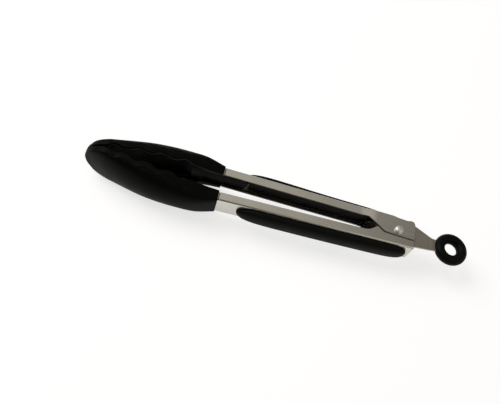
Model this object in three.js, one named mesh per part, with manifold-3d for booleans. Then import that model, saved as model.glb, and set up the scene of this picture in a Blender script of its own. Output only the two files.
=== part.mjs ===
// Spring loaded kitchen tongs with silicone heads, soft grips and a pull-ring lock.
// Millimetres. +X runs from the heads to the pull ring, +Z runs along the pivot rivet,
// and the two arms close on the plane Y = 0. The model is stored closed and locked,
// with the ring pulled out. Each arm is drawn as the near one, with its web at -Y and
// its channel open towards +Y; the far arm is the same turned half round the X axis.

import * as THREE from 'three';
import { mergeVertices } from 'three/addons/utils/BufferGeometryUtils.js';
import Module from 'manifold-3d';

const wasm = await Module();
wasm.setup();

// ---------------------------------------------------------------- driving dimensions

// Steel arms
const sheet = 0.8;               // thickness of the stamped sheet
const channelHeight = 15;        // over both flanges, along the rivet
const webOffset = 9.6;           // rivet axis to the outer face of an arm's web
const flangeDepth = 5.4;         // outer face of the web to the free edge of a flange
const bendRadius = 1.2;          // outer radius of the bends between web and flanges
const hingeEnd = 10.4;           // the near web and the outer ears end this far past the rivet
const farWebShortfall = 4.2;     // the far web stops this far before the rivet
const innerEarRadius = 7.4;      // round end of the inner ears
const outerEarOverlap = 3.8;     // the outer ears reach this far over the other arm
const throatReach = 19.5;        // the ears begin to rise this far before the rivet
const throatRise = 11.7;         // and the outer ones are at full width after this length
const innerThroatRise = 5.4;     // and the inner ones after this
const throatCurve = 6.4;         // length of the curve that leads up to the inner ears
const webEndCurve = 4.4;         // and of the one from the end of the far web to its ears
const joggleLength = 11;         // length of the slope that brings one arm's ears over the other's
const joggleSetback = 14.5;      // which ends this far before the rivet
const lugLength = 3.4;           // the turned-in lugs of the outer ears end this far inside the steel
const earCorner = 1.8;           // the outer ears' corners are rounded off over this length
const lugDrop = 3.4;             // how far a lug reaches in from the ear's outer face
const lugInset = 1.05;           // outer face of the web to the outer face of a lug
const restSplay = THREE.MathUtils.degToRad(1.05);   // each closed arm leans out by this

// Heads
const neckReach = 112;           // rivet axis to the open end of the silicone neck
const tipReach = 195;            // rivet axis to the tip of the head
const headHalfWidth = 15.2;      // half the widest part of the spoon
const headDepth = 13;            // rim to the deepest point of the back
const tipOffset = 3.4;           // the tip's rim lies this far past the rivet axis
const neckWall = 1;              // silicone over the steel neck
const coverWall = 2.3;           // silicone over the core
const coreWall = 1.8;            // nylon of the spoon
const coreDrop = 2.8;            // the core's edge lies this far below the rim
const lipHeight = 4;             // the side wall of the rim, before the back begins
const lipProud = 0.45;           // the side wall stands this far out from the back
const rimEdge = 0.35;            // rounding of the rim's outer edge
const rimCover = 0.4;            // silicone over the free edges of the flanges in the neck
const scallopCount = 6;          // scallop lengths in the length of a head
const scallopDepth = 2;          // how deep the rim is cut between two scallops
const steelInHead = 19;          // the steel runs this far into the head
const tangStep = 0.3;            // and is this much narrower there, each side
const steelTaper = 13;           // its flanges are cut down over this length
const steelRim = 1;              // height of what is left of them at the end
const stemDrop = 1.2;            // the core's stem lies this far below the flanges' edge
const tongueReach = 16;          // the core's tongue shows this far behind the neck
const tongueThickness = 2.8;

// Grips
const bareNeck = 12.6;           // steel left bare between a head and its grip
const gripMargin = 2.5;          // and between the other end of a grip and the end of its web
const gripSideMargin = 1.3;      // and above and below a grip
const gripCrown = 4.7;           // the grip's crown over the web
const gripEndCrown = 0.9;        // share of that crown that the two ends keep
const gripNose = 8;              // power of the curve that rounds the end by the head
const gripHeel = 12;             // and of the blunter one by the hinge
const gripLip = 1.9;             // the grip's face overlaps the edge of its cut-out
const gripFlange = 1.4;          // thickness of the flange inside the channel
const gripFlangeLip = 1.5;       // overlap of that flange
const gripFlangeEnd = 17;        // that flange stops this far before the rivet

// Pivot
const rivetDiameter = 3.2;
const rivetHeadDiameter = 5.6;
const rivetHeadHeight = 2;
const rivetTailDiameter = 4.8;
const rivetTailHeight = 0.7;
const bushDiameter = 4.4;
const wireDiameter = 1.4;
const springCoils = 5;           // whole turns between the two legs
const turnGap = 0.08;            // between one turn and the next
const springLegReach = 15;       // the legs press on the webs this far before the rivet

// Lock
const lockTravel = 8;
const plateThickness = 1.2;
const shoulderSetback = 1.6;     // the plate's shoulders end this far inside the steel
const plateTail = 8;             // the plate runs this far before the rivet
const tabLength = 14.4;          // the plate bends down to its narrow neck over this length
const tabNeckHalfWidth = 3.9;
const tabEntry = 3.9;            // the neck runs this far into the ring
const ringHeight = 1.5;          // the ring's mid-plane over the mid-plane of the arms
const ringSetback = 26.5;        // end of the steel to the centre of the ring
const ringRadius = 7.3;          // centre of the ring to the centre of its section
const ringSection = 3.25;        // radius of the ring's section

// Clearances
const seatGap = 0.3;             // between pieces that seat on each other
const slideGap = 0.15;           // between sheets that slide on each other
const boreGap = 0.1;             // round the rivet
const slotGap = 0.2;             // round the bush in the plate's slot
const springGap = 0.3;           // round the bush in the coil, and between legs and webs
const footGap = 0.7;             // between the coil and the ear under it
const wedgeGap = 0.5;            // between the plate's shoulders and what they hold

// ---------------------------------------------------------------- derived values

const halfHeight = channelHeight / 2;
const joggle = sheet + slideGap;
const outerEarTop = halfHeight + joggle;
const webInside = -webOffset + sheet;
const flangeEdge = -webOffset + flangeDepth;
const rivetRadius = rivetDiameter / 2;
const bushRadius = bushDiameter / 2;
const wireRadius = wireDiameter / 2;
const springFoot = halfHeight - sheet - footGap;
const springPitch = wireDiameter + turnGap;
const lugOffset = webOffset - lugInset;
const gripStart = neckReach - bareNeck;
const gripHeight = channelHeight - 2 * gripSideMargin;
const splayShift = hingeEnd * Math.sin(restSplay);
const nearShoulder = webOffset - sheet - splayShift - wedgeGap;
const farShoulder = lugOffset - sheet - splayShift - wedgeGap;
const shoulderEnd = hingeEnd - shoulderSetback;
const tabBend = hingeEnd + slotGap;
const tabNeck = tabBend + tabLength;
const ringReach = hingeEnd + ringSetback;
const coilRadius = bushRadius + springGap + wireRadius;
const steelEnd = neckReach + steelInHead;
const tangHalf = halfHeight - tangStep;
const headLength = tipReach - neckReach;
const rimAtNeck = flangeEdge + rimCover;
const neckHalfWidth = halfHeight + neckWall;
const neckDepth = webOffset + neckWall + rimAtNeck;
const plateTop = halfHeight - sheet - slideGap;
const beyond = 60;               // reach of a cutting body past what it cuts

const steel = new THREE.MeshStandardMaterial({ color: 0xb9b4ab, metalness: 1, roughness: 0.35 });
const bright = new THREE.MeshStandardMaterial({ color: 0xd8d6d2, metalness: 1, roughness: 0.2 });
const silicone = new THREE.MeshStandardMaterial({ color: 0x1b1b19, metalness: 0, roughness: 0.6 });
const nylon = new THREE.MeshStandardMaterial({ color: 0x141414, metalness: 0, roughness: 0.45 });
const softGrip = new THREE.MeshStandardMaterial({ color: 0x1d1d1d, metalness: 0, roughness: 0.7 });

// ---------------------------------------------------------------- solids

function toSolid(geometry) {
  geometry.deleteAttribute('normal');
  geometry.deleteAttribute('uv');
  const welded = mergeVertices(geometry, 1e-4);
  const vertProperties = Float32Array.from(welded.attributes.position.array);
  const triVerts = Uint32Array.from(welded.index.array);
  return new wasm.Manifold(new wasm.Mesh({ numProp: 3, vertProperties, triVerts }));
}

function piece(name, solid, material) {
  const cut = solid.getMesh();
  const geometry = new THREE.BufferGeometry();
  geometry.setAttribute('position', new THREE.BufferAttribute(Float32Array.from(cut.vertProperties), 3));
  geometry.setIndex(Array.from(cut.triVerts));
  geometry.computeVertexNormals();
  const mesh = new THREE.Mesh(geometry, material);
  mesh.name = name;
  return mesh;
}

// A closed skin through rings of [y, z] points, each at its own x, from low x to high.
// A ring runs anticlockwise seen from +X.
function loft(stations) {
  const count = stations[0].ring.length;
  const points = stations.flatMap(({ x, ring }) => ring.flatMap(([y, z]) => [x, y, z]));
  const index = [];
  for (let s = 0; s + 1 < stations.length; s += 1) {
    for (let i = 0; i < count; i += 1) {
      const a = s * count + i;
      const b = s * count + ((i + 1) % count);
      index.push(a, b, b + count, a, b + count, a + count);
    }
  }
  const cap = (ring, start, turn) => {
    const contour = ring.map(([y, z]) => new THREE.Vector2(y, z));
    for (const face of THREE.ShapeUtils.triangulateShape(contour, [])) {
      const [a, b, c] = turn ? [face[0], face[2], face[1]] : face;
      index.push(start + a, start + b, start + c);
    }
  };
  cap(stations[0].ring, 0, true);
  cap(stations.at(-1).ring, (stations.length - 1) * count, false);
  const geometry = new THREE.BufferGeometry();
  geometry.setAttribute('position', new THREE.Float32BufferAttribute(points, 3));
  geometry.setIndex(index);
  return toSolid(geometry);
}

// An outline in X and Y, given height from z = low to z = high.
function plate(shape, low, high, curveSegments = 12) {
  const geometry = new THREE.ExtrudeGeometry(shape, {
    depth: high - low,
    bevelEnabled: false,
    curveSegments,
  });
  geometry.translate(0, 0, low);
  return toSolid(geometry);
}

// An outline in X and Z, given thickness from y = low to y = high.
function wall(shape, low, high, curveSegments = 12) {
  const geometry = new THREE.ExtrudeGeometry(shape, {
    depth: high - low,
    bevelEnabled: false,
    curveSegments,
  });
  geometry.rotateX(Math.PI / 2);
  geometry.translate(0, high, 0);
  return toSolid(geometry);
}

function block(low, high) {
  const size = high.map((value, i) => value - low[i]);
  const geometry = new THREE.BoxGeometry(...size);
  geometry.translate(...low.map((value, i) => value + size[i] / 2));
  return toSolid(geometry);
}

// A round body on the Z axis from [radius, z] pairs that start and end on the axis.
function turned(profile, segments = 32) {
  const geometry = new THREE.LatheGeometry(profile.map(([r, z]) => new THREE.Vector2(r, z)), segments);
  geometry.rotateX(Math.PI / 2);
  return toSolid(geometry);
}

function pin(radius, low, high, segments = 32) {
  return turned([[0, low], [radius, low], [radius, high], [0, high]], segments);
}

// A smooth curve through [u, value] pairs, with the slope at each taken from its neighbours.
function smooth(table, u) {
  const last = table.length - 1;
  let i = 0;
  while (i < last - 1 && u > table[i + 1][0]) i += 1;
  const slope = (k) => {
    const a = table[Math.max(k - 1, 0)];
    const b = table[Math.min(k + 1, last)];
    return (b[1] - a[1]) / (b[0] - a[0]);
  };
  const [u0, v0] = table[i];
  const [u1, v1] = table[i + 1];
  const span = u1 - u0;
  const t = THREE.MathUtils.clamp((u - u0) / span, 0, 1);
  const bend = (t - 1) * t * span * ((t - 1) * slope(i) + t * slope(i + 1));
  return v0 + (v1 - v0) * t * t * (3 - 2 * t) + bend;
}

// ---------------------------------------------------------------- steel arms

// The U section of the sheet at one place: outer face, bends and inner face. The legs
// run to y = top. grow makes it thicker all round, for the pocket that holds it.
function channelRing(half, top, grow = 0) {
  const steps = 4;
  const ring = [];
  const bend = (radius, from, corner) => {
    for (let i = 0; i <= steps; i += 1) {
      const angle = from + (i / steps) * (Math.PI / 2);
      ring.push([corner[0] + radius * Math.cos(angle), corner[1] + radius * Math.sin(angle)]);
    }
  };
  const upper = [-webOffset + bendRadius, half - bendRadius];
  const lower = [upper[0], -upper[1]];
  ring.push([top, half + grow]);
  bend(bendRadius + grow, Math.PI / 2, upper);
  bend(bendRadius + grow, Math.PI, lower);
  ring.push([top, -half - grow]);
  ring.push([top, -half + sheet + grow]);
  const inside = [];
  const innerRadius = bendRadius - sheet - grow;
  for (const [corner, from] of [[upper, Math.PI / 2], [lower, Math.PI]]) {
    for (let i = 0; i <= steps; i += 1) {
      const angle = from + (i / steps) * (Math.PI / 2);
      inside.push([corner[0] + innerRadius * Math.cos(angle), corner[1] + innerRadius * Math.sin(angle)]);
    }
  }
  ring.push(...inside.reverse());
  ring.push([top, half - sheet - grow]);
  return ring;
}

// The bent sheet before its outline is cut: the tang in the head, the arm, and the step
// that widens it at the hinge, so that its ears lie outside the other arm's.
function bentSheet(widening) {
  const from = -joggleSetback - joggleLength;
  const stations = [
    { x: -steelEnd, half: tangHalf },
    { x: -neckReach + seatGap, half: tangHalf },
    { x: -neckReach + 3 * seatGap, half: halfHeight },
  ];
  const steps = 10;
  for (let i = 0; i <= steps; i += 1) {
    const t = i / steps;
    stations.push({ x: from + t * joggleLength, half: halfHeight + widening * t * t * (3 - 2 * t) });
  }
  stations.push({ x: hingeEnd + 1, half: halfHeight + widening });
  return loft(stations.map(({ x, half }) => ({ x, ring: channelRing(half, beyond) })));
}

// The free edge of the flanges inside the head: full depth at the neck, then tapered.
function flangeInHead(shape, raise = 0) {
  shape.lineTo(-steelEnd + steelTaper, flangeEdge + raise);
  shape.lineTo(-steelEnd - raise, webInside + sheet + steelRim + raise);
  shape.lineTo(-steelEnd - raise, -beyond);
}

// Outline of the near arm, seen along the rivet: its ears are round and lie inside.
function nearOutline() {
  const shape = new THREE.Shape();
  shape.moveTo(-steelEnd, -beyond);
  shape.lineTo(hingeEnd, -beyond);
  shape.lineTo(hingeEnd, flangeEdge - 1.2);
  shape.lineTo(innerEarRadius * Math.cos(-0.4), innerEarRadius * Math.sin(-0.4));
  shape.absarc(0, 0, innerEarRadius, -0.4, 2.35, false);
  const rise = -throatReach + innerThroatRise;
  shape.lineTo(rise, flangeEdge + 0.6 * innerThroatRise);
  shape.quadraticCurveTo(rise - throatCurve / 2, flangeEdge + 0.3, rise - throatCurve, flangeEdge);
  flangeInHead(shape);
  return shape;
}

// Outline of the far arm: its ears lie outside, and run on past the end of its web.
function farOutline() {
  const shape = new THREE.Shape();
  const earRoot = -webOffset + bendRadius + 0.1;
  shape.moveTo(-steelEnd, -beyond);
  shape.lineTo(-farWebShortfall, -beyond);
  shape.lineTo(-farWebShortfall, -webOffset + 0.3);
  const rootEnd = -farWebShortfall + webEndCurve;
  shape.quadraticCurveTo(rootEnd - webEndCurve / 2, earRoot, rootEnd, earRoot);
  shape.lineTo(hingeEnd - lugLength - 1.4, earRoot + 0.3);
  shape.lineTo(hingeEnd - lugLength - 0.5, -lugOffset);
  shape.lineTo(hingeEnd - earCorner, -lugOffset);
  shape.quadraticCurveTo(hingeEnd - 0.4, -lugOffset + 0.6, hingeEnd, -lugOffset + 2 * earCorner);
  shape.lineTo(hingeEnd, outerEarOverlap - 1.2);
  shape.quadraticCurveTo(hingeEnd, outerEarOverlap, hingeEnd - 1.2, outerEarOverlap);
  const rise = -throatReach + throatRise;
  shape.lineTo(rise + 0.5, outerEarOverlap - 0.5);
  shape.quadraticCurveTo(rise - 1, outerEarOverlap - 0.6, rise - 2, outerEarOverlap - 1.4);
  shape.lineTo(-throatReach + 0.6, flangeEdge + 0.4);
  shape.quadraticCurveTo(-throatReach, flangeEdge, -throatReach - 0.8, flangeEdge);
  flangeInHead(shape);
  return shape;
}

// How much of a grip's height is left at v, from -1 at its nose to 1 at its heel.
function gripShare(v) {
  return Math.sqrt(1 - Math.abs(v) ** (v < 0 ? gripNose : gripHeel));
}

// A long oval in X and Z with those two ends, for the grips and their cut-outs.
function gripOutline(start, end, height) {
  const shape = new THREE.Shape();
  const middle = (start + end) / 2;
  const length = end - start;
  const steps = 48;
  for (let i = 0; i < steps; i += 1) {
    const angle = (i / steps) * 2 * Math.PI;
    const along = Math.cos(angle);
    const power = 2 / (along < 0 ? gripNose : gripHeel);
    const x = middle + (length / 2) * Math.sign(along) * Math.abs(along) ** power;
    const z = (height / 2) * Math.sin(angle);
    if (i === 0) shape.moveTo(x, z);
    else shape.lineTo(x, z);
  }
  return shape;
}

function cutOut(gripEnd, gap = 0) {
  const inset = gripLip + gap;
  return gripOutline(-gripStart + inset, gripEnd - inset, gripHeight - 2 * inset);
}

function armSteel(name, widening, outline, gripEnd) {
  const half = halfHeight + widening;
  let body = bentSheet(widening).intersect(plate(outline, -beyond, beyond, 10));
  body = body.subtract(wall(cutOut(gripEnd), -beyond, webInside + sheet));
  body = body.subtract(pin(rivetRadius + boreGap, -beyond, beyond));
  if (widening > 0) {
    for (const end of [-1, 1]) {
      const [under, over] = [end * (half - lugDrop), end * half].sort((a, b) => a - b);
      const low = [hingeEnd - lugLength - 0.5, -lugOffset, under];
      const high = [hingeEnd - earCorner, -lugOffset + sheet, over];
      body = body.add(block(low, high));
    }
  }
  return piece(name, body, steel);
}

// ---------------------------------------------------------------- heads

// Shares of the way from the neck's size to the spoon's, against u, which runs from 0 at
// the neck to 1 at the tip.
const spoonWidth = [[0, 0], [0.14, 0.3], [0.33, 0.71], [0.55, 0.96], [0.72, 1], [0.8, 0.99], [1, 0.95]];
const spoonDepth = [
  [0, 0], [0.16, 0.67], [0.34, 0.94], [0.52, 0.89], [0.67, 0.61],
  [0.82, 0.15], [0.9, -0.24], [0.96, -0.57], [1, -0.8],
];
const spoonRim = [[0, 0], [0.16, 0.05], [0.34, 0.22], [0.52, 0.42], [0.67, 0.64], [0.82, 0.87], [1, 1]];
const squareness = [[0, 6], [0.14, 3.2], [0.3, 2.1], [1, 1.9]];
const roundTip = [0.8, 1];       // where the outline rounds off to the tip

function tipRounding(u) {
  const share = Math.min(Math.max(u - roundTip[0], 0) / (roundTip[1] - roundTip[0]), 1);
  return Math.sqrt(1 - share * share);
}

function halfWidthAt(u) {
  return (neckHalfWidth + (headHalfWidth - neckHalfWidth) * smooth(spoonWidth, u)) * tipRounding(u);
}

function depthAt(u) {
  return neckDepth + (headDepth - neckDepth) * smooth(spoonDepth, u);
}

function rimAt(u) {
  return rimAtNeck + (tipOffset - rimAtNeck) * smooth(spoonRim, u);
}

// Height of the side wall: none at the neck, full along the spoon, less at the tip.
function lipAt(u) {
  return lipHeight * THREE.MathUtils.smoothstep(u, 0.02, 0.16) * (0.4 + 0.6 * tipRounding(u)) + 0.1;
}

// How far the rim is cut down between its scallops.
function scallopAt(u) {
  const start = THREE.MathUtils.smoothstep(u, 0.13, 0.25);
  const fade = start * (1 - THREE.MathUtils.smoothstep(u, 0.9, 0.95));
  const phase = 2 * Math.PI * (scallopCount * (1 - u) - 0.77);
  return scallopDepth * fade * (0.5 - 0.5 * Math.cos(phase)) ** 1.4;
}

// Half a superellipse from the upper side round the back to the lower side, or as much of
// it as lies below y = from.
function backArc(halfWidth, side, back, power, steps, from = side) {
  const open = Math.acos(((side - from) / (side - back)) ** (power / 2));
  const arc = [];
  for (let i = 0; i <= steps; i += 1) {
    const angle = (1 - (2 * i) / steps) * open;
    const across = Math.abs(Math.sin(angle)) ** (2 / power);
    const deep = Math.abs(Math.cos(angle)) ** (2 / power);
    arc.push([side - (side - back) * deep, Math.sign(steps / 2 - i) * halfWidth * across]);
  }
  return arc;
}

// The outside of the cover: a round back, and proud of it a side wall whose two edges
// follow the scallops.
function coverRing(u) {
  const half = halfWidthAt(u);
  const lip = lipAt(u);
  const step = (lipProud * lip * tipRounding(u)) / lipHeight;
  const edge = Math.min(rimEdge, lip / 2, half / 3);
  const rim = rimAt(u) - scallopAt(u);
  const side = rimAt(u) - lip;
  const back = Math.min(rimAt(u) - depthAt(u), side - 0.3);
  const crest = side - Math.min(scallopAt(u), 0.35 * (side - back));
  const arc = backArc(half - step, side, back, smooth(squareness, u), 12, crest - 0.5 * step);
  const wallFoot = arc[0][1] + step;
  return [
    [rim, half - edge],
    [rim - edge, half],
    [crest, wallFoot],
    ...arc,
    [crest, -wallFoot],
    [rim - edge, -half],
    [rim, edge - half],
  ];
}

// A hollow or a lining inside the cover, inset from its outside, with its open side at
// y = rim + top.
function insideRing(u, inset, top) {
  const half = Math.max(halfWidthAt(u) - lipProud - inset, 0.5);
  const back = rimAt(u) - depthAt(u) + inset;
  const open = Math.max(rimAt(u) + top, back + 0.2);
  const side = Math.max(Math.min(rimAt(u) - lipHeight, open), back) + 0.05;
  const arc = backArc(half, side, back, smooth(squareness, u), 10);
  return [[open + 0.1, half], ...arc, [open + 0.1, -half]];
}

// Stations from u = from to u = to, closer together where the tip rounds off.
function alongHead(from, to, ringAt, spacing = 2) {
  const places = [];
  const dense = Math.min(to, 0.9);
  const count = Math.ceil(((dense - from) * headLength) / spacing);
  for (let i = 0; i <= count; i += 1) places.push(from + ((dense - from) * i) / count);
  const turns = 6;
  for (let i = 1; i <= turns && to > dense; i += 1) {
    places.push(dense + (to - dense) * Math.sin((i / turns) * (Math.PI / 2)));
  }
  return places.reverse().map((u) => ({ x: -neckReach - headLength * u, ring: ringAt(u) }));
}

// The steel inside the head, thickened by grow: the pocket that it sits in.
function steelPocket(grow) {
  const ends = [-steelEnd - grow, -neckReach + beyond];
  const sheetBody = loft(ends.map((x) => ({ x, ring: channelRing(tangHalf, beyond, grow) })));
  const shape = new THREE.Shape();
  shape.moveTo(-steelEnd - grow, -beyond);
  shape.lineTo(0, -beyond);
  shape.lineTo(0, flangeEdge + grow);
  flangeInHead(shape, grow);
  return sheetBody.intersect(plate(shape, -beyond, beyond));
}

const hollowSpan = [0.15, 0.972];   // the cover's hollow, in shares of the head's length
const coreSpan = [0.154, 0.86];     // the core's spoon
const bowlSpan = [0.17, 0.9];       // the hollow of the core's spoon
const lining = coverWall + seatGap;
const tangInside = tangHalf - sheet;

function headCover(name) {
  let body = loft(alongHead(0, 0.999, coverRing));
  body = body.subtract(loft(alongHead(...hollowSpan, (u) => insideRing(u, coverWall, beyond))));
  body = body.subtract(block(
    [-steelEnd - seatGap, webInside, -tangInside],
    [-neckReach + beyond, beyond, tangInside],
  ));
  return piece(name, body.subtract(steelPocket(seatGap)), silicone);
}

// A lining of the spoon, a stem inside the steel channel, and the tongue behind the neck.
function headCore(name) {
  let body = loft(alongHead(...coreSpan, (u) => insideRing(u, lining, -coreDrop), 3));
  const hollow = (u) => {
    const ramp = THREE.MathUtils.smoothstep(u, bowlSpan[0], 2 * bowlSpan[0]);
    const depth = depthAt(u) - lining - coreWall;
    return insideRing(u, lining + coreWall + (1 - ramp) * depth, beyond);
  };
  body = body.subtract(loft(alongHead(...bowlSpan, hollow, 3)));
  const stemHalf = tangInside - seatGap;
  const floor = webInside + seatGap;
  const stem = block([-steelEnd, floor, -stemHalf], [-neckReach, flangeEdge - stemDrop, stemHalf]);
  const tongue = new THREE.Shape();
  const tongueEnd = -neckReach + tongueReach;
  const tongueHalf = stemHalf - 0.5;
  tongue.moveTo(-neckReach - 1, -tongueHalf);
  tongue.lineTo(tongueEnd - tongueHalf, -tongueHalf);
  tongue.absarc(tongueEnd - tongueHalf, 0, tongueHalf, -Math.PI / 2, Math.PI / 2, false);
  tongue.lineTo(-neckReach - 1, tongueHalf);
  body = body.add(stem).add(wall(tongue, floor, floor + tongueThickness));
  return piece(name, body.subtract(steelPocket(seatGap)), nylon);
}

// ---------------------------------------------------------------- grips

function grip(name, gripEnd) {
  const middle = (gripEnd - gripStart) / 2;
  const halfLength = (gripEnd + gripStart) / 2;
  const face = -webOffset - seatGap;
  const stations = [];
  const steps = 28;
  for (let i = 0; i <= steps; i += 1) {
    const v = 0.998 * Math.sin((i / steps - 0.5) * Math.PI);
    const half = (gripHeight / 2) * gripShare(v);
    const crown = gripCrown * (1 - (1 - gripEndCrown) * v * v) * gripShare(v) ** 0.8;
    const arc = backArc(half, face - 0.25 * crown, face - crown, 2.3, 12);
    const ring = [[face, half], ...arc.slice(1, -1), [face, -half]];
    stations.push({ x: middle + halfLength * v, ring });
  }
  const neck = wall(cutOut(gripEnd, seatGap), face - 0.5, webInside);
  const flangeStart = -neckReach + tongueReach + 1;
  const flangeInset = gripLip - gripFlangeLip;
  const outline = gripOutline(-gripStart, gripEnd, gripHeight - 2 * flangeInset);
  const seat = webInside + seatGap;
  const root = wall(cutOut(gripEnd, seatGap), webInside - 0.5, seat + 0.1);
  const flange = wall(outline, seat, seat + gripFlange).add(root);
  const kept = block([flangeStart, -beyond, -beyond], [-gripFlangeEnd, beyond, beyond]);
  return piece(name, loft(stations).add(neck).add(flange.intersect(kept)), softGrip);
}

// ---------------------------------------------------------------- pivot

function pivotRivet() {
  const seat = outerEarTop + seatGap;
  const headRadius = rivetHeadDiameter / 2;
  const tailRadius = rivetTailDiameter / 2;
  const profile = [
    [0, -seat - rivetTailHeight],
    [0.7 * tailRadius, -seat - rivetTailHeight],
    [tailRadius, -seat - 0.5 * rivetTailHeight],
    [tailRadius, -seat],
    [rivetRadius, -seat],
    [rivetRadius, seat],
    [headRadius, seat],
  ];
  const steps = 7;
  for (let i = 0; i <= steps; i += 1) {
    const angle = (i / steps) * (Math.PI / 2);
    const rise = rivetHeadHeight * (0.12 + 0.88 * Math.sin(angle));
    profile.push([i === steps ? 0 : headRadius * Math.cos(angle) ** 0.9, seat + rise]);
  }
  return piece('pivot_rivet', turned(profile), bright);
}

function pivotBush() {
  const end = halfHeight - sheet - seatGap;
  const bore = pin(rivetRadius + boreGap, -beyond, beyond);
  return piece('pivot_bush', pin(bushRadius, -end, end).subtract(bore), steel);
}

// The spring's wire: a straight leg, the coil round the bush, and the other leg.
class SpringPath extends THREE.Curve {
  constructor() {
    super();
    const tip = springLegReach;
    const spread = webOffset - sheet - springGap - wireRadius + springLegReach * Math.sin(restSplay);
    const reach = Math.hypot(tip, spread);
    const lean = Math.atan2(spread, tip);
    this.start = -Math.PI + lean + Math.acos(coilRadius / reach);
    this.sweep = 2 * Math.PI * springCoils - 2 * this.start;
    this.low = -springFoot + wireRadius;
    this.rise = (springPitch * this.sweep) / (2 * Math.PI);
    this.leg = Math.sqrt(reach ** 2 - coilRadius ** 2);
    this.coil = coilRadius * this.sweep;
    this.near = new THREE.Vector3(-tip, -spread, this.low);
    this.far = new THREE.Vector3(-tip, spread, this.low + this.rise);
  }

  onCoil(share) {
    const angle = this.start + share * this.sweep;
    const point = new THREE.Vector3(Math.cos(angle), Math.sin(angle), 0).multiplyScalar(coilRadius);
    point.z = this.low + share * this.rise;
    return point;
  }

  getPoint(t) {
    const along = t * (this.coil + 2 * this.leg);
    if (along < this.leg) return this.near.clone().lerp(this.onCoil(0), along / this.leg);
    if (along < this.leg + this.coil) return this.onCoil((along - this.leg) / this.coil);
    return this.onCoil(1).lerp(this.far, (along - this.leg - this.coil) / this.leg);
  }
}

function torsionSpring() {
  const section = new THREE.Shape();
  section.absarc(0, 0, wireRadius, 0, 2 * Math.PI, false);
  const geometry = new THREE.ExtrudeGeometry(section, {
    steps: 110,
    curveSegments: 4,
    extrudePath: new SpringPath(),
  });
  return piece('torsion_spring', toSolid(geometry), bright);
}

// ---------------------------------------------------------------- lock

// The plate's edges and its upper face along X.
const plateStations = [
  [-plateTail, 0.55, 0],
  [-plateTail + 0.8, 0.75, 0],
  [-plateTail + 2.4, 0.92, 0],
  [-plateTail + 4.5, 1, 0],
  [shoulderEnd, 1, 0],
];

function plateRing(near, farSide, top, grow) {
  const low = top - plateThickness - grow;
  const right = farSide + grow;
  return [[-near - grow, low], [right, low], [right, top + grow], [-near - grow, top + grow]];
}

// A straight run from 0 to 1 with a short bend, of length bend, at each of its ends.
function eased(share, bend) {
  const full = 2 * bend * (1 - bend);
  if (share < bend) return share ** 2 / full;
  if (share > 1 - bend) return 1 - (1 - share) ** 2 / full;
  return (share - bend / 2) / (1 - bend);
}

function lockBody(grow) {
  const stations = plateStations.map(([x, share]) => ({
    x,
    ring: plateRing(nearShoulder * share, farShoulder * share, plateTop, grow),
  }));
  const neckTop = ringHeight + plateThickness / 2;
  const along = (x) => (x - shoulderEnd) / (tabNeck - shoulderEnd);
  const taper = (x, half) => half + (tabNeckHalfWidth - half) * along(x);
  const steps = 14;
  for (let i = 0; i <= steps; i += 1) {
    const share = i / steps;
    const x = tabBend + share * (tabNeck - tabBend);
    const top = plateTop + (neckTop - plateTop) * eased(share, 0.14);
    stations.push({ x, ring: plateRing(taper(x, nearShoulder), taper(x, farShoulder), top, grow) });
  }
  const end = ringReach - ringRadius - ringSection + tabEntry + grow;
  stations.push({ x: end, ring: plateRing(tabNeckHalfWidth, tabNeckHalfWidth, neckTop, grow) });
  return loft(stations);
}

function lockPlate() {
  const slotRadius = bushRadius + slotGap;
  const slot = new THREE.Shape();
  slot.absarc(0, 0, slotRadius, Math.PI / 2, (3 * Math.PI) / 2, false);
  slot.absarc(lockTravel, 0, slotRadius, -Math.PI / 2, Math.PI / 2, false);
  return piece('lock_plate', lockBody(0).subtract(plate(slot, -beyond, beyond)), steel);
}

function pullRing() {
  const geometry = new THREE.TorusGeometry(ringRadius, ringSection, 14, 36);
  geometry.translate(ringReach, 0, ringHeight);
  const keep = block([tabNeck - 1, -beyond, -beyond], [beyond, beyond, beyond]);
  const pocket = lockBody(seatGap).intersect(keep);
  return piece('pull_ring', toSolid(geometry).subtract(pocket), silicone);
}

// ---------------------------------------------------------------- assembly

function arm(prefix, widening, outline, gripEnd) {
  const group = new THREE.Group();
  group.add(armSteel(`${prefix}_arm`, widening, outline, gripEnd));
  group.add(headCore(`${prefix}_head_core`));
  group.add(headCover(`${prefix}_head_cover`));
  group.add(grip(`${prefix}_grip`, gripEnd));
  return group;
}

const nearArm = arm('near', 0, nearOutline(), hingeEnd - gripMargin);
nearArm.rotation.z = restSplay;

const farArm = arm('far', joggle, farOutline(), -farWebShortfall - gripMargin);
farArm.rotation.set(Math.PI, 0, -restSplay, 'ZXY');

const tongs = new THREE.Group();
tongs.add(nearArm, farArm, pivotRivet(), pivotBush(), torsionSpring(), lockPlate(), pullRing());

// The origin is under the middle of the closed tongs, on the surface that they lie on.
tongs.updateMatrixWorld(true);
const bounds = new THREE.Box3().setFromObject(tongs, true);
const centre = bounds.getCenter(new THREE.Vector3());
tongs.position.set(-centre.x, -centre.y, -bounds.min.z);

export default tongs;
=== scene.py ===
"""Spring loaded kitchen tongs: steel arms, silicone heads, soft grips, pull-ring lock."""

import math

import bmesh
import bpy
from mathutils import Matrix, Vector


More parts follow.
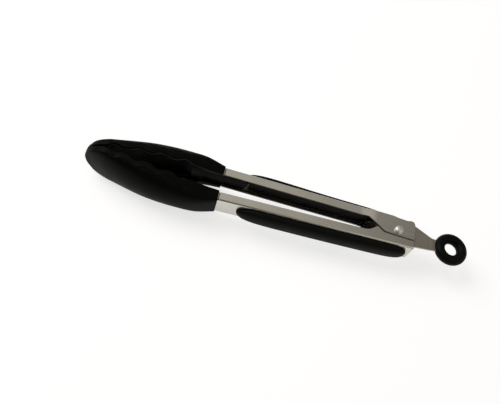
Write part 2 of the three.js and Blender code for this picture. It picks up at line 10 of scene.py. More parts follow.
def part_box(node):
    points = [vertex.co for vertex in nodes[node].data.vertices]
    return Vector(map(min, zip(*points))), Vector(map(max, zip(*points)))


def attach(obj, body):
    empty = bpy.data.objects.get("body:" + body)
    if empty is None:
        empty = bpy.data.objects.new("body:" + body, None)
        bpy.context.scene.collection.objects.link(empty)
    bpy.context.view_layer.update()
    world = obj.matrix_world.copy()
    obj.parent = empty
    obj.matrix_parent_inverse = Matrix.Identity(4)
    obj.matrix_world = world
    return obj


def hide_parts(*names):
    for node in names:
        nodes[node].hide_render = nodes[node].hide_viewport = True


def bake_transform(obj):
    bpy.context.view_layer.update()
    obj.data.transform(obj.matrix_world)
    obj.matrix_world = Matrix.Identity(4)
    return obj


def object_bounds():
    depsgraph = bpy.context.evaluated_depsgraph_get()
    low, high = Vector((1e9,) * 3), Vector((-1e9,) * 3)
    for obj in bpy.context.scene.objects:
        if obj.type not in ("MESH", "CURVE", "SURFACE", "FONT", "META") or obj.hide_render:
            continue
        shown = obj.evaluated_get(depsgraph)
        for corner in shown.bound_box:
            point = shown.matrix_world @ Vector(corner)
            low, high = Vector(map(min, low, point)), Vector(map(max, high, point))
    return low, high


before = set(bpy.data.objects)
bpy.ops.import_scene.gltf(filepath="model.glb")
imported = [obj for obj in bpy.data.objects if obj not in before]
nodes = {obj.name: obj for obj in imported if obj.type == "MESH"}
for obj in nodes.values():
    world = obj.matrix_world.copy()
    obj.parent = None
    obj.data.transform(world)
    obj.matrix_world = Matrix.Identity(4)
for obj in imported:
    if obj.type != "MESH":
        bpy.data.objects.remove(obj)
cad_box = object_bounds()

MM = 0.001
MERGE = 0.0005                  # points this close in millimetres become one


# ---------------------------------------------------------------- the arms' own frames


def middle(node):
    low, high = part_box(node)
    return (Vector(low) + Vector(high)) / 2


# Rivet axis at half the height of the channels.
HINGE = Vector((middle("pivot_rivet").x, middle("pivot_rivet").y, middle("near_arm").z))
SPLAY = math.radians(1.05)

# Each arm is drawn in millimetres as the near one: web at -Y, channel open towards +Y.
NEAR = Matrix.Translation(HINGE) @ Matrix.Rotation(SPLAY, 4, "Z") @ Matrix.Scale(MM, 4)
FAR = (
    Matrix.Translation(HINGE)
    @ Matrix.Rotation(-SPLAY, 4, "Z")
    @ Matrix.Rotation(math.pi, 4, "X")
    @ Matrix.Scale(MM, 4)
)
MIDDLE = Matrix.Translation(HINGE) @ Matrix.Scale(MM, 4)


# ---------------------------------------------------------------- mesh making


def smoothstep(value, low, high):
    share = min(max((value - low) / (high - low), 0.0), 1.0)
    return share * share * (3 - 2 * share)


def smooth(table, u):
    """A smooth curve through (u, value) pairs, with slopes taken from the neighbours."""
    last = len(table) - 1
    i = 0
    while i < last - 1 and u > table[i + 1][0]:
        i += 1

    def slope(k):
        a = table[max(k - 1, 0)]
        b = table[min(k + 1, last)]
        return (b[1] - a[1]) / (b[0] - a[0])

    (u0, v0), (u1, v1) = table[i], table[i + 1]
    t = min(max((u - u0) / (u1 - u0), 0.0), 1.0)
    bend = (t - 1) * t * (u1 - u0) * ((t - 1) * slope(i) + t * slope(i + 1))
    return v0 + (v1 - v0) * t * t * (3 - 2 * t) + bend


def object_from(name, bm, place, sharp):
    """A smooth-shaded object put in its place; edges over sharp degrees stay sharp."""
    bmesh.ops.remove_doubles(bm, verts=bm.verts, dist=MERGE)
    bmesh.ops.dissolve_degenerate(bm, edges=bm.edges, dist=MERGE)
    bmesh.ops.recalc_face_normals(bm, faces=bm.faces)
    bm.transform(place)
    for face in bm.faces:
        face.smooth = True
    for edge in bm.edges:
        if len(edge.link_faces) == 2:
            edge.smooth = edge.calc_face_angle(0) < math.radians(sharp)
    mesh = bpy.data.meshes.new(name)
    bm.to_mesh(mesh)
    bm.free()
    piece = bpy.data.objects.new(name, mesh)
    bpy.context.scene.collection.objects.link(piece)
    return piece


def skin(bm, rings, closed_rings=True, caps=True, closed_path=False):
    """Quads through rings of points; caps fill the first ring and the last."""
    rows = [[bm.verts.new(point) for point in ring] for ring in rings]
    count = len(rows[0])
    spans = count if closed_rings else count - 1
    pairs = list(zip(rows, rows[1:]))
    if closed_path:
        pairs.append((rows[-1], rows[0]))
    for a, b in pairs:
        for i in range(spans):
            j = (i + 1) % count
            bm.faces.new((a[i], a[j], b[j], b[i]))
    if caps:
        bm.faces.new(rows[0])
        bm.faces.new(rows[-1])


def turned(bm, profile, steps=64):
    """A body turned about Z from (radius, z) pairs."""
    rings = []
    for i in range(steps):
        angle = 2 * math.pi * i / steps
        rings.append([(r * math.cos(angle), r * math.sin(angle), z) for r, z in profile])
    rows = [[bm.verts.new(p) for p in ring] for ring in rings]
    for i in range(steps):
        a, b = rows[i], rows[(i + 1) % steps]
        for j in range(len(profile) - 1):
            bm.faces.new((a[j], a[j + 1], b[j + 1], b[j]))


# ---------------------------------------------------------------- heads

WEB = -9.6                      # outer face of a web
SHEET = 0.8                     # thickness of the arms' sheet
NECK, TIP = -112.0, -194.9      # the ends of a head, along X from the rivet
HEAD = NECK - TIP

# Pairs of u, from 0 at the neck to 1 at the tip, and a value: half the width, the depth of
# the back under the rim, the rim's height, and the power that squares the section.
WIDTH = [
    (0, 8.5), (0.14, 10.51), (0.33, 13.26), (0.55, 14.93), (0.72, 15.2), (0.8, 15.13), (1, 14.87),
]
DEPTH = [
    (0, 6.8), (0.16, 10.95), (0.34, 12.62), (0.52, 12.32), (0.67, 10.58), (0.82, 7.73),
    (0.9, 5.31), (0.96, 3.27), (1, 1.84),
]
RIM = [
    (0, -3.8), (0.16, -3.44), (0.34, -2.22), (0.52, -0.78), (0.67, 0.81), (0.82, 2.46), (1, 3.4),
]
SQUARENESS = [(0, 6), (0.14, 3.2), (0.3, 2.1), (1, 1.9)]
ROUND_FROM = 0.8                # the outline rounds off from this u

LIP = 4                         # height of the rim's side wall along the spoon
LIP_ROOT = 0.1                  # and what is left of it at the neck
PROUD = 0.45                    # the side wall stands this far out from the back
RIM_EDGE = 0.45                 # rounding of the rim's outer edge
SCALLOPS = 6
SCALLOP_PHASE = 0.77            # place of the first scallop, as a share of one
SCALLOP_DEPTH = 2
BITE = 0.35                     # how far a cut may go into the back, as a share of it
INNER_LIP = 1.2                 # the wall's inside goes down at least this far
COVER_WALL = 2.3                # silicone over the core
STEEL_HALF = 8.55               # the steel and its gap take this much of half the neck
CORE_GAP = 0.05
CORE_WALL = 1.8
CORE_DROP = 3.2                 # the core's edge lies this far below the rim
EDGE_DROP = 0.25                # and the core's sides this far below its edge
STEM_DROP = 0.6                 # and its raised floor by the neck this far
LINING = 2.4                    # power of the section of the cover's inside and the core


def tip_share(u):
    """1 along the spoon, and down to 0 at the tip, as the outline rounds off."""
    share = min(max(u - ROUND_FROM, 0) / (1 - ROUND_FROM), 1)
    return math.sqrt(1 - share * share)


def half_width(u):
    return smooth(WIDTH, u) * tip_share(u)


def lip_height(u):
    """The rim's side wall: next to nothing at the neck, full along the spoon, less at the tip."""
    return LIP * smoothstep(u, 0.02, 0.16) * (0.4 + 0.6 * tip_share(u)) + LIP_ROOT


def scallop(u):
    """How far the rim is cut down between its scallops."""
    fade = smoothstep(u, 0.13, 0.25) * (1 - smoothstep(u, 0.84, 0.93))
    phase = 2 * math.pi * (SCALLOPS * (1 - u) - SCALLOP_PHASE)
    return SCALLOP_DEPTH * fade * (0.5 - 0.5 * math.cos(phase)) ** 1.4


def head_path(along=96, round_steps=30):
    """(u, side) from the neck, round the tip, and back on the other side."""
    sides = [ROUND_FROM * i / along for i in range(along)]
    tip = [math.sin(math.pi / 2 * i / round_steps) for i in range(round_steps + 1)]
    there = [(u, 1) for u in sides + [ROUND_FROM + (1 - ROUND_FROM) * t for t in tip]]
    return there + [(u, -1) for u, _ in reversed(there[:-1])]


class Section:
    """A line over the head from its spine to a point of its outline.

    Along the spoon the lines run straight across; round the tip they fan out."""

    def __init__(self, u, side):
        self.edge = Vector((NECK - HEAD * u, side * half_width(u)))
        self.start = Vector((NECK - HEAD * min(u, ROUND_FROM), 0.0))
        self.reach = (self.edge - self.start).length
        self.rim = smooth(RIM, u)
        self.cut = scallop(u)

    def spot(self, share, inset=0.0):
        """The point at a share of the line, with the whole line drawn in by inset."""
        keep = max((self.reach - inset) / self.reach, 0.02)
        return self.start.lerp(self.edge, share * keep)

    def height(self, share, inset=0.0, top=None):
        """Height of the round back over that point, or of a lining inset mm inside it."""
        point = self.start.lerp(self.edge, share)
        u = min(max((NECK - point.x) / HEAD, 0.0), 0.999)
        across = min(abs(point.y) / half_width(u), 1.0)
        power = smooth(SQUARENESS, u)
        deep = (1 - across**power) ** (1 / power)
        level = smooth(RIM, u) - lip_height(u)
        back = min(smooth(RIM, u) - smooth(DEPTH, u), level - 0.05) + inset
        level = level if top is None else max(top, back)
        return level - (level - back) * deep


def shares(steps, power=2.0, end=1.0):
    """Shares of a line from 0 to end, closer together where the surface turns down."""
    return [end * math.sin(math.pi / 2 * i / steps) ** (2 / power) for i in range(steps + 1)]


def outer_line(u, side, steps=24):
    """From the spine of the back out to the side wall's foot, then up it to the rim."""
    section = Section(u, side)
    lip = lip_height(u)
    level = section.rim - lip
    proud = PROUD * lip / LIP
    back = section.height(0)
    crest = level - min(section.cut, BITE * max(level - back, 0))
    low, high = 0.0, 1.0        # the share where the back meets the wall, by halving
    for _ in range(30):
        share = (low + high) / 2
        if section.height(share) < crest - 0.5 * proud:
            low = share
        else:
            high = share
    line = []
    for share in shares(steps, smooth(SQUARENESS, u), high):
        spot = section.spot(share, proud)
        line.append((spot.x, section.height(share), spot.y))
    foot = section.spot(high, proud)
    head = section.spot(1)
    shift = proud / section.reach * (section.edge - section.start)
    radius = min(RIM_EDGE, lip / 3)
    top = section.rim - section.cut - radius
    # Out along the step from the back to the side wall, and then up the wall.
    for out, share in ((0.5, 0.0), (0.88, 0.04), (1.0, 0.12), (1.0, 0.4), (1.0, 0.7), (1.0, 1.0)):
        spot = foot + shift * out
        spot = spot + (head - foot - shift) * share
        line.append((spot.x, crest + (top - crest) * share, spot.y))
    for i in range(1, 5):
        angle = math.pi / 2 * i / 4
        spot = section.spot(1, radius * (1 - math.cos(angle)))
        line.append((spot.x, top + radius * math.sin(angle), spot.y))
    return line


def inner_line(u, side, wall, steps=18):
    """From the rim's inner edge down the inside and along the floor to the spine."""
    section = Section(u, side)
    rim = section.rim - section.cut
    line = []
    # Over the top of the rim and round its inner edge.
    for inset, drop in ((wall * 0.5, 0.0), (wall - 0.4, 0.02), (wall - 0.12, 0.14), (wall, 0.45)):
        spot = section.spot(1, inset)
        line.append((spot.x, rim - drop, spot.y))
    top = section.rim - max(lip_height(u) + section.cut, INNER_LIP)
    for share in reversed(shares(steps, LINING)):
        spot = section.spot(share, wall)
        line.append((spot.x, section.height(share, wall, top), spot.y))
    return line


def head_cover(name, place):
    rings = []
    for u, side in head_path():
        # By the neck the silicone is solid round the steel, and further on a thin wall.
        solid = 1 - smoothstep(u, 0.13, 0.2)
        wall = COVER_WALL + max(half_width(u) - STEEL_HALF, 0) * solid
        rings.append(outer_line(u, side) + inner_line(u, side, wall))
    bm = bmesh.new()
    skin(bm, rings, closed_rings=False)
    return object_from(name, bm, place, 50)


def core_line(u, side, steps=16):
    """The nylon spoon: up its hidden outside, over its edge, and down into the bowl."""
    outside = COVER_WALL + CORE_GAP
    inside = outside + CORE_WALL
    section = Section(u, side)
    top = section.rim - CORE_DROP
    line = []
    for share in shares(steps, LINING):
        spot = section.spot(share, outside)
        line.append((spot.x, section.height(share, outside, top - EDGE_DROP), spot.y))
    for share in (0.15, 0.85):
        spot = section.spot(1, outside + (inside - outside) * share)
        line.append((spot.x, top, spot.y))
    raised = 1 - smoothstep(u, 0.16, 0.36)
    for share in reversed(shares(steps, LINING)):
        spot = section.spot(share, inside)
        height = section.height(share, inside, top - EDGE_DROP)
        if share < 1:
            height += (top - STEM_DROP - height) * raised
        line.append((spot.x, height, spot.y))
    return line


def rounded_bar(bm, outline, low, high, edge=0.3):
    """A flat bar over an outline of (x, z) points, from low to high in Y, edges rounded."""

    def inset(points, by):
        moved = []
        count = len(points)
        for i, (x, z) in enumerate(points):
            ax, az = points[i - 1]
            bx, bz = points[(i + 1) % count]
            along = Vector((bx - ax, bz - az)).normalized()
            moved.append((x - along.y * by, z + along.x * by))
        return moved

    area = sum(
        outline[i - 1][0] * outline[i][1] - outline[i][0] * outline[i - 1][1]
        for i in range(len(outline))
    )
    if area < 0:
        outline = list(reversed(outline))
    rows = [
        (edge, low),
        (0, low + edge),
        (0, high - edge),
        (0.3 * edge, high - 0.3 * edge),
        (edge, high),
    ]
    skin(bm, [[(x, y, z) for x, z in inset(outline, by)] for by, y in rows])


BOWL_FROM = 0.15                # the core's spoon begins at this u, and its stem before it
STEM_FROM = -131.5
STEM_HALF = 6.1                 # half the stem's height along Z
STEM_TOP = -5.4
TONGUE_FROM, TONGUE_END = -120, -96.0
TONGUE_INSET = 0.4              # the tongue is this much narrower than the stem, each side
TONGUE_THICKNESS = 2.8
SEAT = 0.1                      # between the web's inside and the stem and tongue


def head_core(name, place):
    bm = bmesh.new()
    path = [(u, side) for u, side in head_path() if u > BOWL_FROM]
    skin(bm, [core_line(u, side) for u, side in path], closed_rings=False)
    floor = WEB + SHEET + SEAT
    stem = [(STEM_FROM, -STEM_HALF), (STEM_FROM, STEM_HALF), (NECK, STEM_HALF)]
    stem.append((NECK, -STEM_HALF))
    rounded_bar(bm, stem, floor, STEM_TOP)
    half = STEM_HALF - TONGUE_INSET
    tongue = [(TONGUE_FROM, half), (TONGUE_FROM, -half)]
    for i in range(25):
        angle = math.pi * (i / 24 - 0.5)
        tongue.append((TONGUE_END - half + half * math.cos(angle), half * math.sin(angle)))
    rounded_bar(bm, tongue, floor, floor + TONGUE_THICKNESS, edge=0.4)
    return object_from(name, bm, place, 50)


# ---------------------------------------------------------------- grips

GRIP_START = -99.4
GRIP_HALF = 6.2                 # half the height of a grip's face
GRIP_NOSE, GRIP_HEEL = 8, 12    # powers of the curves that round its two ends
CROWN_POWER = 2.3               # and of its crowned section
CROWN_WALL = 0.25               # share of the crown that rises straight from the web
LIP_GAP = 0.03                  # between the web and the lip of the grip over it
FLANGE_HEIGHT = 11.6            # the flange inside the channel
FLANGE_INSET = 0.4
FLANGE_FROM, FLANGE_TO = -95.0, -17.0
FLANGE_THICKNESS = 1.58
WAIST_HEIGHT = 8.5              # the waist in the web's cut-out
WAIST_INSET = 1.95


def end_power(v):
    return GRIP_NOSE if v < 0 else GRIP_HEEL


def grip_share(v):
    """How much of the grip's height is left at v, from -1 at its nose to 1 at its heel."""
    return math.sqrt(1 - abs(v) ** end_power(v))


def grip_ring(v, x, face, crown_height, steps=20):
    """One section of the crown, from its upper edge over to its lower edge and its back."""
    half = GRIP_HALF * grip_share(v)
    crown = crown_height * (1 - 0.1 * v * v) * grip_share(v) ** 0.8
    ring = []
    for i in range(steps + 1):
        angle = (0.5 - i / steps) * math.pi
        across = abs(math.sin(angle)) ** (2 / CROWN_POWER)
        across = math.copysign(across, 0.5 - i / steps)
        deep = CROWN_WALL + (1 - CROWN_WALL) * abs(math.cos(angle)) ** (2 / CROWN_POWER)
        ring.append((x, face - crown * deep, half * across))
    ring.append((x, face, -half * 0.985))
    ring.append((x, face, half * 0.985))
    return ring


def grip_outline(start, end, height, count=96):
    """The (x, z) outline of a grip's face, or of a smaller one inside it."""
    points = []
    centre = (start + end) / 2
    for i in range(count):
        angle = 2 * math.pi * i / count
        along = math.cos(angle)
        reach = math.copysign(abs(along) ** (2 / end_power(along)), along)
        x = centre + (end - start) / 2 * reach
        points.append((x, height / 2 * math.sin(angle)))
    return points


def grip(name, place, end, nose_crown, heel_crown, steps=110):
    """A crowned pad on the web, a waist in the web's cut-out and a flange behind it."""
    centre, half_length = (GRIP_START + end) / 2, (end - GRIP_START) / 2
    face = WEB - LIP_GAP
    inside = WEB + SHEET
    bm = bmesh.new()
    rings = []
    for i in range(steps + 1):
        v = 0.9995 * math.sin(math.pi * (i / steps - 0.5))
        crown = nose_crown + (heel_crown - nose_crown) * smoothstep(v, -1, 0.4)
        rings.append(grip_ring(v, centre + half_length * v, face, crown))
    skin(bm, rings)
    flange = grip_outline(GRIP_START + FLANGE_INSET, end - FLANGE_INSET, FLANGE_HEIGHT)
    flange = [(min(max(x, FLANGE_FROM), FLANGE_TO), z) for x, z in flange]
    rounded_bar(bm, flange, inside + 0.02, inside + 0.02 + FLANGE_THICKNESS, edge=0.4)
    waist = grip_outline(GRIP_START + WAIST_INSET, end - WAIST_INSET, WAIST_HEIGHT)
    rounded_bar(bm, waist, face + 0.05, inside + 0.1, edge=0.02)
    return object_from(name, bm, place, 50)


# ---------------------------------------------------------------- hinge and lock

EAR_FACE = 8.47                 # the rivet's head and tail seat this far from the middle
SHANK = 1.6                     # radius of the rivet between them
HEAD_RADIUS, HEAD_HEIGHT = 2.8, 1.8
HEAD_FOOT = 0.15                # the dome stands on a foot of this height
BUSH_BORE, BUSH_RADIUS, BUSH_HALF = 1.65, 2.2, 6.4
BUSH_EDGE = 0.1
WIRE = 0.7                      # radius of the spring's wire
COIL = 3.2                      # radius of the coil's middle line
COIL_FOOT = -5.3
COIL_TURNS = 5
TURN_RISE = 1.48
LEG_REACH = 15                  # the legs end this far before the rivet
LEG_GAP = 0.05                  # and this far from the webs
RING_AT = (36.9, 1.5)           # the ring's centre, along X and Z from the hinge
RING_RADIUS, RING_SECTION = 7.3, 3.25


def rivet(name):
    """A domed head over the upper ear, and a spread tail with a dished end under the lower."""
    tail = [(0, 0.52), (1.2, 0.56), (1.7, 0.7), (2.2, 0.55), (2.38, 0.3), (2.3, 0)]
    profile = [(radius, -EAR_FACE - drop) for radius, drop in tail]
    profile += [(SHANK, -EAR_FACE), (SHANK, EAR_FACE), (2.72, EAR_FACE)]
    foot = EAR_FACE + HEAD_FOOT
    for i in range(16):
        angle = math.pi / 2 * i / 16
        radius = HEAD_RADIUS * math.cos(angle) ** 0.72
        profile.append((radius, foot + HEAD_HEIGHT * math.sin(angle) ** 0.85))
    profile.append((0, foot + HEAD_HEIGHT))
    bm = bmesh.new()
    turned(bm, profile)
    return object_from(name, bm, MIDDLE, 35)


def bush(name):
    lower = [(BUSH_BORE, -BUSH_HALF), (BUSH_RADIUS - BUSH_EDGE, -BUSH_HALF)]
    lower.append((BUSH_RADIUS, BUSH_EDGE - BUSH_HALF))
    upper = [(radius, -z) for radius, z in reversed(lower)]
    bm = bmesh.new()
    turned(bm, lower + upper + lower[:1])
    return object_from(name, bm, MIDDLE, 35)


def leg_spread():
    """How far from the middle a leg's end lies, against its web."""
    return -WEB - SHEET - LEG_GAP - WIRE + LEG_REACH * math.sin(SPLAY)


def wire_path(first, last, steps):
    """Points of the coil between two shares of its sweep. Its ends run on into the legs."""
    spread = leg_spread()
    reach = math.hypot(LEG_REACH, spread)
    begin = -math.pi + math.atan2(spread, LEG_REACH) + math.acos(COIL / reach)
    sweep = 2 * math.pi * COIL_TURNS - 2 * begin
    points = []
    for i in range(steps + 1):
        share = first + (last - first) * i / steps
        angle = begin + share * sweep
        height = COIL_FOOT + TURN_RISE * share * sweep / (2 * math.pi)
        points.append(Vector((COIL * math.cos(angle), COIL * math.sin(angle), height)))
    return points


def tube(bm, points, radius, sides=14):
    """A round wire along points that never run straight up."""
    rings = []
    for i, point in enumerate(points):
        ahead = points[min(i + 1, len(points) - 1)]
        behind = points[max(i - 1, 0)]
        along = (ahead - behind).normalized()
        across = along.cross(Vector((0, 0, 1))).normalized()
        up = across.cross(along)
        ring = []
        for k in range(sides):
            angle = 2 * math.pi * k / sides
            ring.append(point + radius * (math.cos(angle) * across + math.sin(angle) * up))
        rings.append(ring)
    skin(bm, rings)


def spring_half(name, lower):
    """Half of the coil with its straight leg, from the near web or to the far one."""
    spread = leg_spread()
    if lower:
        coil = wire_path(0, 0.5, 260)
        tip = Vector((-LEG_REACH, -spread, coil[0].z))
        points = [tip.lerp(coil[0], i / 12) for i in range(12)] + coil
    else:
        coil = wire_path(0.5, 1, 260)
        tip = Vector((-LEG_REACH, spread, coil[-1].z))
        points = coil + [coil[-1].lerp(tip, i / 12) for i in range(1, 13)]
    bm = bmesh.new()
    tube(bm, points, WIRE)
    return object_from(name, bm, MIDDLE, 50)


def pull_ring(name, steps=120, sides=40):
    centre, level = RING_AT
    rings = []
    for i in range(steps):
        angle = 2 * math.pi * i / steps
        ring = []
        for k in range(sides):
            turn = 2 * math.pi * k / sides
            out = RING_RADIUS + RING_SECTION * math.cos(turn)
            x, y = centre + out * math.cos(angle), out * math.sin(angle)
            ring.append((x, y, level + RING_SECTION * math.sin(turn)))
        rings.append(ring)
    bm = bmesh.new()
    skin(bm, rings, caps=False, closed_path=True)
    return object_from(name, bm, MIDDLE, 60)


# ---------------------------------------------------------------- materials


def linear(text):
    """An sRGB hex colour as linear red, green, blue and alpha."""
    parts = [int(text[i : i + 2], 16) / 255 for i in (1, 3, 5)]
    return [c / 12.92 if c <= 0.04045 else ((c + 0.055) / 1.055) ** 2.4 for c in parts] + [1.0]


def add(tree, kind, settings=None, links=None):
    """A node with its settings and the links into its inputs."""
    node = tree.nodes.new(kind)
    for key, value in (settings or {}).items():
        if key in node.inputs:
            node.inputs[key].default_value = value
        else:
            setattr(node, key, value)
    for key, output in (links or {}).items():
        tree.links.new(output, node.inputs[key])
    return node


def start_material(name):
    material = bpy.data.materials.new(name)
    material.use_nodes = True
    tree = material.node_tree
    tree.nodes.clear()
    shader = add(tree, "ShaderNodeBsdfPrincipled")
    add(tree, "ShaderNodeOutputMaterial", links={"Surface": shader.outputs["BSDF"]})
    place = add(tree, "ShaderNodeTexCoord").outputs["Object"]
    return material, tree, shader, place


def noise(tree, place, size_mm, detail, stretch=(1, 1, 1)):
    """Noise with grains of about size_mm, longer along an axis where stretch is over 1."""
    mapping = add(tree, "ShaderNodeMapping", links={"Vector": place})
    mapping.inputs["Scale"].default_value = [1 / s for s in stretch]
    return add(
        tree,
        "ShaderNodeTexNoise",
        {"Scale": 1 / (size_mm * MM), "Detail": detail, "Roughness": 0.55},
        {"Vector": mapping.outputs["Vector"]},
    ).outputs["Fac"]


def spread_over(tree, value, low, high, to_low, to_high):
    """value carried evenly from low..high to to_low..to_high."""
    node = add(
        tree,
        "ShaderNodeMapRange",
        {"From Min": low, "From Max": high, "To Min": to_low, "To Max": to_high},
        {"Value": value},
    )
    return node.outputs["Result"]


def two_tone(tree, value, first, second):
    """A colour that goes from the first to the second over the middle of a noise."""
    ramp = add(tree, "ShaderNodeValToRGB", links={"Fac": value})
    for stop, position, text in zip(ramp.color_ramp.elements, (0.35, 0.65), (first, second)):
        stop.position = position
        stop.color = linear(text)
    return ramp.outputs["Color"]


def relief(tree, shader, value, depth_mm, strength):
    bump = add(
        tree,
        "ShaderNodeBump",
        {"Strength": strength, "Distance": depth_mm * MM},
        {"Height": value},
    )
    tree.links.new(bump.outputs["Normal"], shader.inputs["Normal"])


def brushed_stainless(name, first, second, rough=(0.2, 0.34)):
    """Stainless sheet brushed along its length: fine streaks that soften each reflection."""
    material, tree, shader, place = start_material(name)
    shader.inputs["Metallic"].default_value = 1.0
    # Real brush marks are about 0.05 mm apart; 0.35 mm is what still shows.
    streaks = noise(tree, place, 0.35, 4.0, (90, 1, 1))
    cloud = noise(tree, place, 22, 2.0)
    tree.links.new(two_tone(tree, cloud, first, second), shader.inputs["Base Color"])
    tree.links.new(spread_over(tree, streaks, 0.3, 0.7, *rough), shader.inputs["Roughness"])
    relief(tree, shader, streaks, 0.006, 0.6)
    return material


def moulded(name, first, second, ior, sheen, rough, grain_mm, depth_mm):
    """Moulded polymer: a fine matt grain from the mould and a faint cloudy bloom."""
    material, tree, shader, place = start_material(name)
    shader.inputs["IOR"].default_value = ior
    shader.inputs["Specular IOR Level"].default_value = sheen
    bloom = noise(tree, place, 9, 4.0)
    grain = noise(tree, place, grain_mm, 2.0)
    tree.links.new(two_tone(tree, bloom, first, second), shader.inputs["Base Color"])
    tree.links.new(spread_over(tree, bloom, 0.3, 0.7, *rough), shader.inputs["Roughness"])
    relief(tree, shader, grain, depth_mm, 0.5)
    return material


arm_steel = brushed_stainless("stainless_sheet_brushed", "#C9C5BD", "#D1CEC7")
# Cut edges: rougher steel, with a darker colour that is painted shade of the gaps beside them.
cut_edge_steel_and_shade = brushed_stainless("stainless_sheet_cut_edge_painted_shade", "#77726A", "#857F77", (0.45, 0.6))
plate_steel = brushed_stainless("stainless_sheet_mill_finish", "#A1988B", "#ABA397", (0.3, 0.45))
rivet_steel = brushed_stainless("stainless_rivet_upset", "#E4E1DA", "#ECEAE5", (0.42, 0.52))
wire_steel = brushed_stainless("spring_wire_drawn", "#B3ADA4", "#C4BFB8", (0.2, 0.32))
silicone = moulded(
    "silicone_moulded_satin", "#080806", "#0B0B08",
    ior=1.41, sheen=0.06, rough=(0.42, 0.52), grain_mm=0.5, depth_mm=0.02,
)
ring_silicone = moulded(
    "silicone_ring_moulded_satin", "#0C0C09", "#10100C",
    ior=1.41, sheen=0.09, rough=(0.42, 0.52), grain_mm=0.5, depth_mm=0.02,
)
nylon = moulded(
    "nylon_glass_filled_moulded", "#040403", "#060605",
    ior=1.53, sheen=0.04, rough=(0.45, 0.58), grain_mm=0.35, depth_mm=0.02,
)
soft_grip = moulded(
    "thermoplastic_rubber_moulded", "#0D0D0A", "#11110D",
    ior=1.5, sheen=0.07, rough=(0.48, 0.6), grain_mm=0.4, depth_mm=0.03,
)


# ---------------------------------------------------------------- pieces onto the frame


def put(piece, material, slot, body, *stands_for):
    """A made piece gets its finish, rides its body and stands for CAD pieces. Its slot is not
    used.
    """
    piece.data.materials.clear()
    piece.data.materials.append(material)
    if body:
        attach(piece, body)
    if stands_for:
        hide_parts(*stands_for)
    return piece


# Where each grip ends, and its crown at the nose and at the heel: the far grip ends sooner
# than the near one and is lower towards its heel.
for side, place, end, nose_crown, heel_crown in (
    ("near", NEAR, 7.9, 4.8, 4.8),
    ("far", FAR, -6.7, 4.3, 2.7),
):
    body = f"{side}_arm"
    cover = head_cover(f"{side}_cover_silicone", place)
    put(cover, silicone, "head_silicone", body, f"{side}_head_cover")
    core = head_core(f"{side}_core_nylon", place)
    put(core, nylon, "core_nylon", body, f"{side}_head_core")
    pad = grip(f"{side}_grip_rubber", place, end, nose_crown, heel_crown)
    put(pad, soft_grip, "grip_rubber", body, f"{side}_grip")

put(rivet("rivet_domed"), rivet_steel, "rivet_steel", "pivot", "pivot_rivet")
put(bush("bush_turned"), rivet_steel, "rivet_steel", "pivot", "pivot_bush")
put(pull_ring("ring_silicone"), ring_silicone, "ring_silicone", "lock", "pull_ring")

# The spring's two halves meet in the middle of the coil, and each leg ends against its web.
lower = put(spring_half("spring_lower", True), wire_steel, "spring_wire", None, "torsion_spring")
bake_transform(lower)
upper = put(spring_half("spring_upper", False), wire_steel, "spring_wire", None)
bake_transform(upper)


EDGE_RADIUS = 0.1
PAST_BEND = 1.4                 # faces nearer to the web than this aren't cut edges


def dress(node, material):
    """A sheet part keeps its shape and gets softened edges and its finish."""
    part = nodes[node]
    part.data.materials.clear()
    part.data.materials.append(material)
    for face in part.data.polygons:
        face.use_smooth = True
    bevel = part.modifiers.new("edge", "BEVEL")
    bevel.width = EDGE_RADIUS * MM
    bevel.segments = 2
    bevel.limit_method = "ANGLE"
    bevel.angle_limit = math.radians(50)
    bevel.harden_normals = True
    weighted = part.modifiers.new("flats", "WEIGHTED_NORMAL")
    weighted.keep_sharp = True


def shade_cut_edges(node, place):
    """The edges left where the flanges and ears were cut are rougher, and darker with painted
    shade of the gaps beside them.
    """
    part = nodes[node]
    part.data.materials.append(cut_edge_steel_and_shade)
    to_arm = place.inverted() @ part.matrix_world
    for face in part.data.polygons:
        if abs(face.normal.z) < 0.3 and (to_arm @ face.center).y > WEB + PAST_BEND:
            face.material_index = 1


dress("near_arm", arm_steel)
dress("far_arm", arm_steel)
dress("lock_plate", plate_steel)
shade_cut_edges("near_arm", NEAR)
shade_cut_edges("far_arm", FAR)


# ---------------------------------------------------------------- camera

CAMERA_AT = (-116.8, -178.9, 309.5)         # from the hinge, in millimetres
LOOKS_ALONG = (0.0692, 0.4923, -0.8676)
UPWARDS = (-0.2583, 0.8489, 0.4611)

camera_data = bpy.data.cameras.new("camera")
camera_data.sensor_width = 36
camera_data.lens = 42.16
camera_data.clip_start = 0.01
camera = bpy.data.objects.new("camera", camera_data)
bpy.context.scene.collection.objects.link(camera)
ahead = Vector(LOOKS_ALONG).normalized()
up = Vector(UPWARDS)
up = (up - up.dot(ahead) * ahead).normalized()
right = ahead.cross(up)
turn = Matrix((right, up, -ahead)).transposed().to_4x4()
camera.matrix_world = Matrix.Translation(HINGE + Vector(CAMERA_AT) * MM) @ turn
bpy.context.scene.camera = camera


# ---------------------------------------------------------------- floor, world and lights

FLOOR_RADIUS = 3.0
FLOOR_GAP = 0.0002              # the floor lies this far under the lowest point


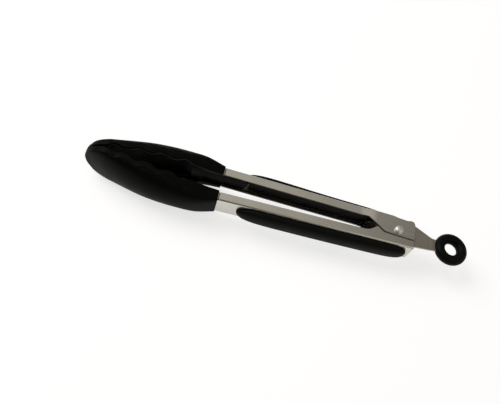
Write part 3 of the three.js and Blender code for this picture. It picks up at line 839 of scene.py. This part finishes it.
def floor_material():
    """Matt white card. The camera and mirrors see greyer card with a glow of its own."""
    material = bpy.data.materials.new("card_white_matt")
    material.use_nodes = True
    tree = material.node_tree
    tree.nodes.clear()
    card = add(tree, "ShaderNodeBsdfDiffuse", {"Color": linear("#F4F4F4")})
    soft = add(tree, "ShaderNodeBsdfDiffuse", {"Color": linear("#BCBCBC")})
    glow = add(tree, "ShaderNodeEmission", {"Color": linear("#FFFFFF"), "Strength": 0.7})
    both = add(tree, "ShaderNodeAddShader")
    tree.links.new(soft.outputs["BSDF"], both.inputs[0])
    tree.links.new(glow.outputs["Emission"], both.inputs[1])
    rays = add(tree, "ShaderNodeLightPath")
    seen = add(tree, "ShaderNodeMath", {"operation": "MAXIMUM"})
    tree.links.new(rays.outputs["Is Camera Ray"], seen.inputs[0])
    tree.links.new(rays.outputs["Is Glossy Ray"], seen.inputs[1])
    mix = add(tree, "ShaderNodeMixShader", links={"Fac": seen.outputs["Value"]})
    tree.links.new(card.outputs["BSDF"], mix.inputs[1])
    tree.links.new(both.outputs["Shader"], mix.inputs[2])
    add(tree, "ShaderNodeOutputMaterial", links={"Surface": mix.outputs["Shader"]})
    return material


floor_mesh = bpy.data.meshes.new("floor")
bm = bmesh.new()
bmesh.ops.create_circle(bm, cap_ends=True, segments=96, radius=FLOOR_RADIUS)
bm.to_mesh(floor_mesh)
bm.free()
floor = bpy.data.objects.new("floor", floor_mesh)
floor.location = (0, 0, cad_box[0][2] - FLOOR_GAP)
floor_mesh.materials.append(floor_material())
bpy.context.scene.collection.objects.link(floor)

world = bpy.data.worlds.new("room")
bpy.context.scene.world = world
world.use_nodes = True
tree = world.node_tree
tree.nodes.clear()


def between(value, low, high, to_low, to_high):
    """value carried smoothly from low..high to to_low..to_high."""
    result = spread_over(tree, value, low, high, to_low, to_high)
    result.node.interpolation_type = "SMOOTHSTEP"
    return result


def product(first, second):
    node = add(tree, "ShaderNodeMath", {"operation": "MULTIPLY"})
    tree.links.new(first, node.inputs[0])
    tree.links.new(second, node.inputs[1])
    return node.outputs["Value"]


# A pale ceiling that falls off to the right. In front, a wall that is dark on the left and
# pale on the right. Both are dimmer low down, and the camera sees plain white instead.
place = add(tree, "ShaderNodeTexCoord").outputs["Generated"]
axes = add(tree, "ShaderNodeSeparateXYZ", links={"Vector": place})
ceiling = between(axes.outputs["X"], 0.08, 0.44, 0.56, 0.12)
in_front = between(axes.outputs["Y"], -0.18, 0.08, 1.0, 0.0)
front_wall = between(axes.outputs["X"], 0.14, 0.28, 0.02, 0.9)
above_walls = between(axes.outputs["Z"], 0.25, 0.7, 0.2, 1.0)
blend = add(tree, "ShaderNodeMix", {"data_type": "FLOAT"})
tree.links.new(in_front, blend.inputs[0])
tree.links.new(ceiling, blend.inputs[2])
tree.links.new(front_wall, blend.inputs[3])
radiance = product(blend.outputs[0], above_walls)
rays = add(tree, "ShaderNodeLightPath")
room = add(tree, "ShaderNodeBackground", {"Color": linear("#FFF9EE")}, {"Strength": radiance})
white = add(tree, "ShaderNodeBackground", {"Color": (1, 1, 1, 1), "Strength": 1.0})
mix = add(tree, "ShaderNodeMixShader", links={"Fac": rays.outputs["Is Camera Ray"]})
tree.links.new(room.outputs["Background"], mix.inputs[1])
tree.links.new(white.outputs["Background"], mix.inputs[2])
add(tree, "ShaderNodeOutputWorld", links={"Surface": mix.outputs["Shader"]})


def softbox(name, place, size, power):
    data = bpy.data.lights.new(name, "AREA")
    data.shape = "RECTANGLE"
    data.size, data.size_y = size
    data.energy = power
    lamp = bpy.data.objects.new(name, data)
    lamp.location = place
    lamp.rotation_euler = (-Vector(place)).to_track_quat("-Z", "Y").to_euler()
    bpy.context.scene.collection.objects.link(lamp)


softbox("key_softbox", (-0.9, 0.35, 1.0), (0.8, 0.8), 9)
softbox("fill_softbox", (1.0, 0.4, 0.7), (0.6, 0.6), 0.6)

scene = bpy.context.scene
scene.view_settings.view_transform = "Standard"
